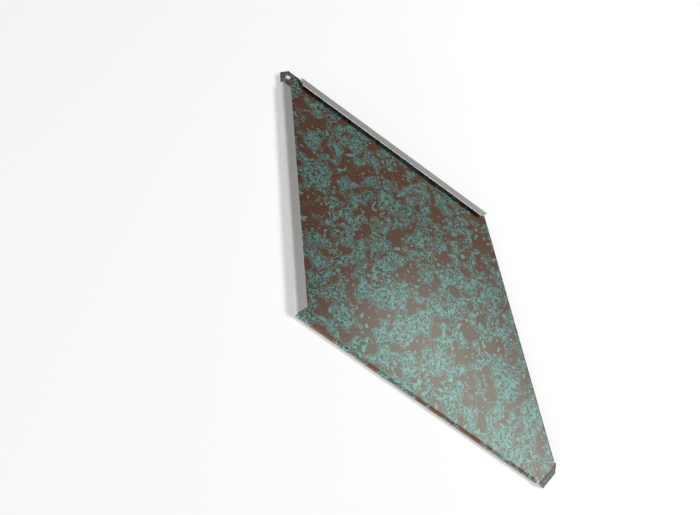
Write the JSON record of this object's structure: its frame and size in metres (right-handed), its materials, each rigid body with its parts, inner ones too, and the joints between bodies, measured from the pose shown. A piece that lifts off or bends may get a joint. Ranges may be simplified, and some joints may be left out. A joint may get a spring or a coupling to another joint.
{
  "type": "metal roof slate",
  "caption": "Pointed diamond roof slate folded from coated sheet metal, hemmed along its sides to hook onto its neighbours, with a nail tab at the top and a bent tongue at the bottom.",
  "frame": {"origin": "centre of the nail hole, on the weather face", "axes": "+Z out of the weather face, +Y up the roof slope along the long diagonal from the tongue to the nail tab, +X to the right seen from above"},
  "size_m": [0.2998, 0.5624, 0.0122],
  "materials": {
    "coated_sheet": "coil-coated steel: semi-gloss printed verdigris on brown on the weather side, plain light grey coat on the back, bare cut edges"
  },
  "bodies": {
    "root": {"folded_sheet": "coated_sheet"}
  },
  "joints": []
}
